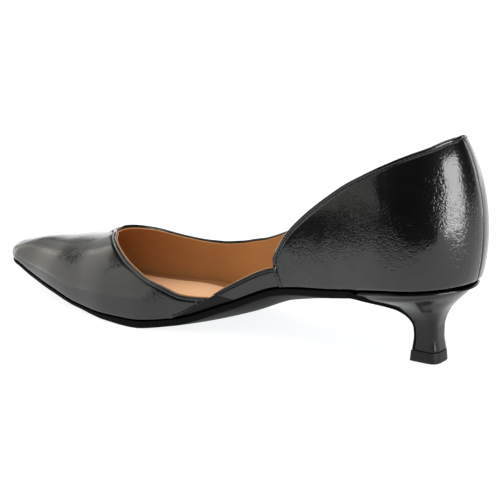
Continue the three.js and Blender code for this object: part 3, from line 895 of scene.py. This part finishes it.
HALF_SEAT = 24   # turns an inset at the seat into a share of its half width
HEEL_EDGE = 1.5  # radius of the heel's upper edge, which opens the groove under the quarter


def make_heel():
    """Heel block covered in leather, from the foot of the neck to the seat"""
    rings = []
    foot = heel_ring(0, flap_thickness(0) + GAP, 0.3)
    middle = foot.mean(0)
    rings.append(np.broadcast_to(middle, foot.shape))
    rings.append(foot)
    levels = np.concatenate([[0.0], np.linspace(0.012, HEEL_TOP_LEVEL - 0.03, 90)])
    for level in levels:
        rings.append(heel_ring(level, flap_thickness(level) + GAP))
    for inset, drop in corner(HEEL_EDGE, 9)[::-1]:
        rings.append(seat_ring(inset / HALF_SEAT, drop))
    for inward in (0.3, 0.6, 0.85):
        rings.append(seat_ring(inward))
    rings.append(np.broadcast_to(rings[-1].mean(0), foot.shape))
    return join("heel_block", [sheet(np.array(rings))])


def make_tip():
    """Rubber top lift, standing a little proud of the neck"""
    outline = heel_ring(0, 0)
    middle = NECK_BACK + NECK_LENGTH / 2

    def line(lip, height):
        x = middle + (outline[:, 0] - middle) * (1 + lip / (NECK_LENGTH / 2))
        y = outline[:, 1] * (1 + lip / (NECK_WIDTH / 2))
        return vec(x, y, height)

    bottom = LIFT_LIP + LIFT_FLARE
    lines = [line(bottom - inset, drop) for inset, drop in corner(0.25)]
    lines += [line(bottom - LIFT_FLARE * share, 0.3 + (LIFT - 0.6) * share) for share in (0.25, 0.5, 0.75)]
    lines += [line(LIFT_LIP - inset, LIFT - drop) for inset, drop in corner(0.2)[::-1]]
    rows = [np.broadcast_to(lines[0].mean(0), lines[0].shape)] + lines
    rows.append(np.broadcast_to(lines[-1].mean(0), lines[0].shape))
    return join("heel_tip", [sheet(np.array(rows))])


# Stitches
def one_stitch(long, wide, tall):
    """A thread that bulges between its two holes"""
    bpy.ops.object.select_all(action="DESELECT")
    bpy.ops.mesh.primitive_cylinder_add(vertices=8, radius=0.5 * MM, depth=MM, end_fill_type="TRIFAN")
    thread = bpy.context.object
    bpy.ops.object.mode_set(mode="EDIT")
    bpy.ops.mesh.select_all(action="SELECT")
    bpy.ops.mesh.bisect(plane_co=(0, 0, 0.28 * MM), plane_no=(0, 0, 1))
    bpy.ops.mesh.select_all(action="SELECT")
    bpy.ops.mesh.bisect(plane_co=(0, 0, -0.28 * MM), plane_no=(0, 0, 1))
    bpy.ops.object.mode_set(mode="OBJECT")
    for vertex in thread.data.vertices:
        vertex.select = abs(vertex.co.z) > 0.4 * MM
    for edge in thread.data.edges:
        edge.select = all(thread.data.vertices[i].select for i in edge.vertices)
    for face in thread.data.polygons:
        face.select = all(thread.data.vertices[i].select for i in face.vertices)
    bpy.ops.object.mode_set(mode="EDIT")
    bpy.ops.transform.resize(value=(0.5, 0.5, 1))
    bpy.ops.mesh.select_all(action="SELECT")
    bpy.ops.transform.resize(value=(tall, wide, long))
    bpy.ops.object.mode_set(mode="OBJECT")
    bpy.ops.object.shade_smooth()
    return thread


def evenly(line, pitch):
    """Shares along a line of points, one for each stitch"""
    travel = np.concatenate([[0], np.cumsum(np.linalg.norm(np.diff(line, axis=0), axis=1))])
    count = max(1, int(travel[-1] / pitch))
    steps = (np.arange(count) + 0.5) * travel[-1] / count
    return np.interp(steps, travel, np.arange(len(line)))


def sewn(name, panel, runs, pitch, sink, thread):
    """Stitches copied along edges of a panel. runs: places of the edge, inset, side it is inset to"""
    seed = one_stitch(*thread)
    copies = []
    for places, inset, turn in runs:
        edge = last_point(places[:, 0], places[:, 1], np.minimum(places[:, 2], 1))
        out = outward_at(places[:, 0], places[:, 1], np.minimum(places[:, 2], 1))
        along = np.gradient(edge, axis=0)
        inward = unit(np.cross(out, along)) * turn
        line = edge + inward * inset
        index = np.arange(len(line))
        for share in evenly(line, pitch):
            centre = np.array([np.interp(share, index, line[:, k]) for k in range(3)])
            ahead = unit(np.array([np.interp(share, index, along[:, k]) for k in range(3)]))
            _, place, normal, _ = panel.closest_point_on_mesh(Vector((centre + SHIFT) * MM))
            up = unit(np.array(normal) - ahead * (np.array(normal) @ ahead))
            across = np.cross(ahead, up)
            stitch = seed.copy()
            stitch.data = seed.data.copy()
            turned = Matrix(np.array([up, across, ahead]).T.tolist()).to_4x4()
            turned.translation = place - Vector(up) * sink * MM
            stitch.data.transform(turned)
            bpy.context.scene.collection.objects.link(stitch)
            copies.append(stitch)
    bpy.data.objects.remove(seed)
    bpy.ops.object.select_all(action="DESELECT")
    for stitch in copies:
        stitch.select_set(True)
    bpy.context.view_layer.objects.active = copies[0]
    bpy.ops.object.join()
    row = bpy.context.object
    row.name = name
    row.data.name = name
    return row


vamp, vamp_edges, vamp_back = make_vamp()
quarter, quarter_top, quarter_front, quarter_seam = make_quarter()
strip, strip_top = make_strip()
gusset = make_gusset()
lining, lining_rims = make_lining()
sock = make_sock()
sole = make_sole()
heel = make_heel()
tip = make_tip()

bpy.context.view_layer.update()
# Length, width and height of a stitch
BLACK_STITCH = (1.85, 0.55, 0.45)
TAN_STITCH = (1.5, 0.42, 0.35)
CLEAR_OF_STRIP = 30  # lines of the quarter before its lining stitches start
vamp_thread = sewn(
    "vamp_thread",
    vamp,
    [(vamp_edges[0][0], STITCH_INSET, -1), (vamp_edges[1][0], STITCH_INSET, -1), (vamp_back, BACK_INSET, 1)],
    STITCH_PITCH, THREAD_SINK, BLACK_STITCH,
)
quarter_thread = sewn(
    "quarter_thread",
    quarter,
    [(quarter_top, STITCH_INSET, -1), (quarter_front, STITCH_INSET, 1), (quarter_seam, SEAM_INSET, -1)],
    STITCH_PITCH, THREAD_SINK, BLACK_STITCH,
)
strip_thread = sewn(
    "strip_thread", strip, [(strip_top, STRIP_INSET, -1)], STITCH_PITCH, THREAD_SINK, BLACK_STITCH
)
lining_thread = sewn(
    "lining_thread",
    lining,
    [(vamp_edges[0][0], LINING_INSET, -1), (quarter_top[CLEAR_OF_STRIP:], LINING_INSET, -1)],
    STITCH_PITCH, LINING_SINK, TAN_STITCH,
)


# Finishes
def new_material(name):
    material = bpy.data.materials.new(name)
    material.use_nodes = True
    nodes = material.node_tree.nodes
    shader = nodes["Principled BSDF"]
    return material, nodes, material.node_tree.links, shader


def place_node(nodes, links, scale):
    """Object coordinates in units of one over the scale"""
    coordinates = nodes.new("ShaderNodeTexCoord")
    mapping = nodes.new("ShaderNodeMapping")
    mapping.inputs["Scale"].default_value = scale
    links.new(coordinates.outputs["Object"], mapping.inputs["Vector"])
    return mapping.outputs["Vector"]


def noise_node(nodes, links, vector, scale, detail=2.0, rough=0.5, output="Fac"):
    texture = nodes.new("ShaderNodeTexNoise")
    texture.inputs["Scale"].default_value = scale
    texture.inputs["Detail"].default_value = detail
    texture.inputs["Roughness"].default_value = rough
    links.new(vector, texture.inputs["Vector"])
    return texture.outputs[output]


def bump_node(nodes, links, height, distance_mm, strength, before=None):
    bump = nodes.new("ShaderNodeBump")
    bump.inputs["Distance"].default_value = distance_mm * MM
    bump.inputs["Strength"].default_value = strength
    links.new(height, bump.inputs["Height"])
    if before is not None:
        links.new(before, bump.inputs["Normal"])
    return bump.outputs["Normal"]


def ramp_node(nodes, links, value, low, high, stops):
    ramp = nodes.new("ShaderNodeValToRGB")
    ramp.color_ramp.elements[0].position = low
    ramp.color_ramp.elements[0].color = stops[0]
    ramp.color_ramp.elements[1].position = high
    ramp.color_ramp.elements[1].color = stops[1]
    links.new(value, ramp.inputs["Fac"])
    return ramp.outputs["Color"]


def range_node(nodes, links, value, low, high, to_low, to_high):
    """Maps a value's range to another, smoothly"""
    mapped = nodes.new("ShaderNodeMapRange")
    mapped.interpolation_type = "SMOOTHSTEP"
    mapped.inputs["From Min"].default_value = low
    mapped.inputs["From Max"].default_value = high
    mapped.inputs["To Min"].default_value = to_low
    mapped.inputs["To Max"].default_value = to_high
    links.new(value, mapped.inputs["Value"])
    return mapped.outputs["Result"]


def times_node(nodes, links, first, second):
    product = nodes.new("ShaderNodeMath")
    product.operation = "MULTIPLY"
    links.new(first, product.inputs[0])
    links.new(second, product.inputs[1])
    return product.outputs["Value"]


def wandering(nodes, links, vector, scale, reach):
    """Coordinates pushed about by noise, so that cells come out crooked"""
    push = noise_node(nodes, links, vector, scale, 2, 0.5, "Color")
    moved = nodes.new("ShaderNodeVectorMath")
    moved.operation = "MULTIPLY_ADD"
    moved.inputs[1].default_value = (reach, reach, reach)
    links.new(push, moved.inputs[0])
    links.new(vector, moved.inputs[2])
    return moved.outputs["Vector"]


def crackle_node(nodes, links, vector, scale, groove):
    """Fine wrinkles between crooked cells: 0 in a wrinkle, 1 on a cell"""
    cells = nodes.new("ShaderNodeTexVoronoi")
    cells.feature = "DISTANCE_TO_EDGE"
    cells.inputs["Scale"].default_value = scale
    links.new(vector, cells.inputs["Vector"])
    return range_node(nodes, links, cells.outputs["Distance"], 0.0, groove, 0.0, 1.0)


def glossy_leather(name, crinkle, polish, coat=1.0):
    """Black leather under a clear polish, finely crinkled in patches"""
    material, nodes, links, shader = new_material(name)
    here = place_node(nodes, links, (1, 1, 1))
    crooked = wandering(nodes, links, here, 500, 0.0011)
    # Cells of about 1 and 3 mm
    small = crackle_node(nodes, links, crooked, 900, 0.3)
    large = crackle_node(nodes, links, crooked, 330, 0.2)
    patches = range_node(nodes, links, noise_node(nodes, links, here, 42, 2, 0.5), 0.38, 0.62, 0.25, 1.0)
    fine = noise_node(nodes, links, here, 1500, 2, 0.6)
    broad = noise_node(nodes, links, here, 150, 2, 0.5)
    slow = noise_node(nodes, links, here, 48, 1, 0.5)
    first = bump_node(nodes, links, times_node(nodes, links, small, patches), 0.045, crinkle)
    second = bump_node(nodes, links, times_node(nodes, links, large, patches), 0.04, crinkle, first)
    third = bump_node(nodes, links, fine, 0.012, 0.5 * crinkle, second)
    fourth = bump_node(nodes, links, broad, 0.06, 0.6 * crinkle, third)
    surface = bump_node(nodes, links, slow, 0.2, 0.5, fourth)
    links.new(surface, shader.inputs["Normal"])
    links.new(surface, shader.inputs["Coat Normal"])
    tint = noise_node(nodes, links, here, 60, 2, 0.5)
    blacks = ((0.0012, 0.0013, 0.0016, 1), (0.0022, 0.0024, 0.0026, 1))
    color = ramp_node(nodes, links, tint, 0.3, 0.7, blacks)
    links.new(color, shader.inputs["Base Color"])
    shader.inputs["Roughness"].default_value = 0.34
    shader.inputs["Specular IOR Level"].default_value = 0.12
    shader.inputs["Coat Weight"].default_value = coat
    shader.inputs["Coat Roughness"].default_value = polish
    return material


def lining_leather(name, light, dark, gloss):
    """Smooth tan leather with a faint grain"""
    material, nodes, links, shader = new_material(name)
    here = place_node(nodes, links, (1, 1, 1))
    tint = noise_node(nodes, links, here, 45, 3, 0.55)
    links.new(ramp_node(nodes, links, tint, 0.3, 0.7, (dark, light)), shader.inputs["Base Color"])
    grain = noise_node(nodes, links, here, 2600, 2, 0.6)
    soft = noise_node(nodes, links, here, 220, 2, 0.5)
    first = bump_node(nodes, links, grain, 0.03, 0.35)
    links.new(bump_node(nodes, links, soft, 0.05, 0.3, first), shader.inputs["Normal"])
    shader.inputs["Roughness"].default_value = gloss
    return material


def plain_finish(name, color, rough, grain_scale, grain, shine):
    material, nodes, links, shader = new_material(name)
    here = place_node(nodes, links, (1, 1, 1))
    speck = noise_node(nodes, links, here, grain_scale, 3, 0.6)
    brighter = tuple(c * 1.5 for c in color[:3]) + (1,)
    links.new(ramp_node(nodes, links, speck, 0.35, 0.7, (color, brighter)), shader.inputs["Base Color"])
    links.new(bump_node(nodes, links, speck, 0.04, grain), shader.inputs["Normal"])
    shader.inputs["Roughness"].default_value = rough
    shader.inputs["Specular IOR Level"].default_value = shine
    return material


BLACK_LEATHER = glossy_leather("black_leather", 0.85, 0.055)
VAMP_LEATHER = glossy_leather("vamp_leather", 0.45, 0.1)
HEEL_LEATHER = glossy_leather("heel_leather", 0.25, 0.1, 0.5)
TAN_LINING = lining_leather("tan_lining", (0.42, 0.19, 0.055, 1), (0.35, 0.15, 0.042, 1), 0.45)
# Light peach for the lining's cut edge: partly its own colour, partly painted highlight
CUT_EDGE_AND_HIGHLIGHT = lining_leather("cut_edge_and_highlight", (0.78, 0.55, 0.36, 1), (0.7, 0.47, 0.3, 1), 0.7)
# Lining beyond the sock, painted darker than the tan lining as painted shade by the outer wall
MARGIN_PAINTED_SHADE = lining_leather("margin_painted_shade", (0.30, 0.13, 0.045, 1), (0.27, 0.115, 0.038, 1), 0.5)
TAN_SOCK = lining_leather("tan_sock", (0.72, 0.43, 0.23, 1), (0.68, 0.395, 0.21, 1), 0.55)
DULL_LEATHER = plain_finish("dull_leather", (0.002, 0.0022, 0.0024, 1), 0.4, 900, 0.3, 0.2)
SOLE_FINISH = plain_finish("sole_finish", (0.0022, 0.0024, 0.0026, 1), 0.5, 1400, 0.3, 0.05)
LIFT_RUBBER = plain_finish("lift_rubber", (0.007, 0.0075, 0.0075, 1), 0.5, 2200, 0.5, 0.25)
BLACK_THREAD = plain_finish("black_thread", (0.002, 0.0022, 0.0035, 1), 0.5, 3000, 0.4, 0.25)
TAN_THREAD = plain_finish("tan_thread", (0.62, 0.4, 0.2, 1), 0.6, 3000, 0.4, 0.4)


def dress(piece, material, slot, *nodes):
    piece.data.materials.clear()
    piece.data.materials.append(material)
    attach(piece, "root")
    if nodes:
        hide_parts(*nodes)


dress(vamp, VAMP_LEATHER, "black_leather", "upper")
dress(quarter, BLACK_LEATHER, "black_leather")
dress(strip, VAMP_LEATHER, "black_leather")
dress(gusset, DULL_LEATHER, "black_leather")
dress(lining, TAN_LINING, "tan_lining")
dress(vamp_thread, BLACK_THREAD, "black_leather")
dress(quarter_thread, BLACK_THREAD, "black_leather")
dress(strip_thread, BLACK_THREAD, "black_leather")
dress(lining_thread, TAN_THREAD, "tan_lining")
dress(sock, TAN_SOCK, "tan_lining", "insole")
dress(sole, SOLE_FINISH, "dark_sole", "outsole")
dress(heel, HEEL_LEATHER, "black_leather", "heel")
dress(tip, LIFT_RUBBER, "heel_rubber", "top_lift")


def second_finish(piece, material, chosen):
    """Another finish on some faces of a piece"""
    piece.data.materials.append(material)
    piece.data.polygons.foreach_set("material_index", chosen.astype(np.int32))
    piece.data.update()


def face_centres(piece):
    """In millimetres on the last"""
    centres = np.empty(len(piece.data.polygons) * 3)
    piece.data.polygons.foreach_get("center", centres)
    return centres.reshape(-1, 3) / MM - SHIFT


lining_faces = face_centres(lining)
near_rim = np.minimum(distance(lining_faces, lining_rims[0]), distance(lining_faces, lining_rims[1]))
# The lining's cut edge and a band below it are painted light peach, partly as painted highlight
second_finish(lining, CUT_EDGE_AND_HIGHLIGHT, near_rim < LINING + EDGE_HIGHLIGHT_REACH)
sock_faces = face_centres(sock)
# Sock faces near the outer wall take the margin's colour, which holds painted shade
shade_band_edge = -half_width(OUTER, sock_faces[:, 0]) + SHADED_MARGIN_SHARE * BALL_WIDTH
second_finish(sock, MARGIN_PAINTED_SHADE, sock_faces[:, 1] < shade_band_edge)


# Studio
PAPER = (0.22, 0.22, 0.22, 1)
GLOW = 0.9  # the paper also shines by itself, which keeps the shadow faint


def floor():
    bpy.ops.object.select_all(action="DESELECT")
    bpy.ops.mesh.primitive_plane_add(size=14, location=(0, 0, -0.0002))
    ground = bpy.context.object
    ground.name = "floor"
    material, nodes, links, shader = new_material("floor_paper")
    shader.inputs["Base Color"].default_value = PAPER
    shader.inputs["Roughness"].default_value = 0.9
    shader.inputs["Specular IOR Level"].default_value = 0.1
    shader.inputs["Emission Color"].default_value = (0.97, 0.985, 1, 1)
    shader.inputs["Emission Strength"].default_value = GLOW
    ground.data.materials.append(material)


def panel(name, centre, aim, size, radiance, color=(1, 1, 1), lights_all=False):
    """A softbox of even brightness that faces a point. It only shows in reflections unless it lights all."""
    place = Vector(centre)
    bpy.ops.object.select_all(action="DESELECT")
    bpy.ops.object.light_add(type="AREA", location=place)
    light = bpy.context.object
    light.name = name
    light.rotation_euler = (place - Vector(aim)).to_track_quat("Z", "Y").to_euler()
    light.data.shape = "RECTANGLE"
    light.data.size = size[0]
    light.data.size_y = size[1]
    light.data.energy = radiance * math.pi * size[0] * size[1]
    light.data.color = color
    light.visible_camera = False
    light.visible_diffuse = lights_all
    return light


def flag(name, low, high):
    """A black card that shows only in reflections, as a photographer hangs one to keep the leather black"""
    bpy.ops.object.select_all(action="DESELECT")
    bpy.ops.mesh.primitive_plane_add(size=1)
    card = bpy.context.object
    card.name = name
    corners = [(x, y, z) for z in (low[2], high[2]) for x, y in (low[:2], high[:2])]
    card.data.vertices.foreach_set("co", np.array(corners, float).ravel())
    card.data.update()
    material, nodes, links, shader = new_material("flag_black")
    shader.inputs["Base Color"].default_value = (0, 0, 0, 1)
    shader.inputs["Roughness"].default_value = 1
    shader.inputs["Specular IOR Level"].default_value = 0
    card.data.materials.append(material)
    card.visible_camera = False
    card.visible_diffuse = False
    card.visible_shadow = False


def world():
    """A pale room that is dark in reflections"""
    surroundings = bpy.data.worlds.new("studio")
    bpy.context.scene.world = surroundings
    surroundings.use_nodes = True
    nodes = surroundings.node_tree.nodes
    links = surroundings.node_tree.links
    background = nodes["Background"]
    path = nodes.new("ShaderNodeLightPath")
    tone = ramp_node(nodes, links, path.outputs["Is Glossy Ray"], 0, 1, (PALE, ROOM))
    links.new(tone, background.inputs["Color"])


ROOM = (0.03, 0.03, 0.032, 1)
PALE = (1.1, 1.1, 1.1, 1)

# The photographed view, fitted to the outline of the shoe
AIM = Vector((-0.0017, 0.0001, 0.045))
CAMERA_AZIMUTH = 33.64    # from the inner side towards the heel
CAMERA_ELEVATION = 15.37
CAMERA_AWAY = 1.05
FOCAL_PIXELS = 2278
FRAME_PIXELS = 500
CENTRE_PIXEL = (235.7, 227.2)  # where the middle of the shoe falls in the frame
SENSOR = 36


def camera():
    az = math.radians(CAMERA_AZIMUTH)
    el = math.radians(CAMERA_ELEVATION)
    back = Vector((-math.sin(az) * math.cos(el), math.cos(az) * math.cos(el), math.sin(el)))
    place = AIM + back * CAMERA_AWAY
    right = Vector((0, 0, 1)).cross(back).normalized()
    above = back.cross(right)
    offset = [FRAME_PIXELS / 2 - c for c in CENTRE_PIXEL]
    target = AIM + (right * offset[0] - above * offset[1]) * CAMERA_AWAY / FOCAL_PIXELS
    bpy.ops.object.camera_add(location=place)
    view = bpy.context.object
    view.name = "camera"
    view.rotation_euler = (target - place).to_track_quat("-Z", "Y").to_euler()
    view.data.sensor_width = SENSOR
    view.data.lens = FOCAL_PIXELS * SENSOR / FRAME_PIXELS
    view.data.clip_start = 0.01
    bpy.context.scene.camera = view


bpy.context.scene.view_settings.view_transform = "Standard"
floor()
world()
camera()
OLIVE = (1, 0.98, 0.9)
panel("overhead", (0, 0, 1.3), (0, 0, 0), (1.6, 1.6), 1.3, lights_all=True)
panel("back_panel", (0.5, -1.0, 0.25), (0.5, 0, 0.25), (2.7, 0.5), 1.6, lights_all=True)
panel("heel_softbox", (-0.49, 0.124, 0.175), (-0.11, 0, 0.175), (0.27, 0.32), 10.2)
panel("side_card", (0.2475, 0.2, 0.106), (0.2475, 0, 0.106), (0.405, 0.188), 1.45, OLIVE)
panel("toe_card", (0.45, 0.05, 0.12), (0, 0.05, 0.12), (0.3, 0.24), 1.5, OLIVE)
panel("corner_card", (0.624, -0.205, 0.2), (0.06, 0, 0.2), (0.25, 0.4), 0.75, OLIVE)
panel("quarter_card", (0.02, 0.11, 0.126), (-0.2, 0.11, 0.126), (0.12, 0.148), 0.65, OLIVE)
flag("quarter_flag", (0.021, 0.05, 0.02), (0.021, 0.17, 0.2))
flag("near_flag", (-0.01, 0.2, 0), (0.04, 0.2, 0.05))
flag("front_flag", (-0.35, 0.27, 0), (0.07, 0.27, 0.1))
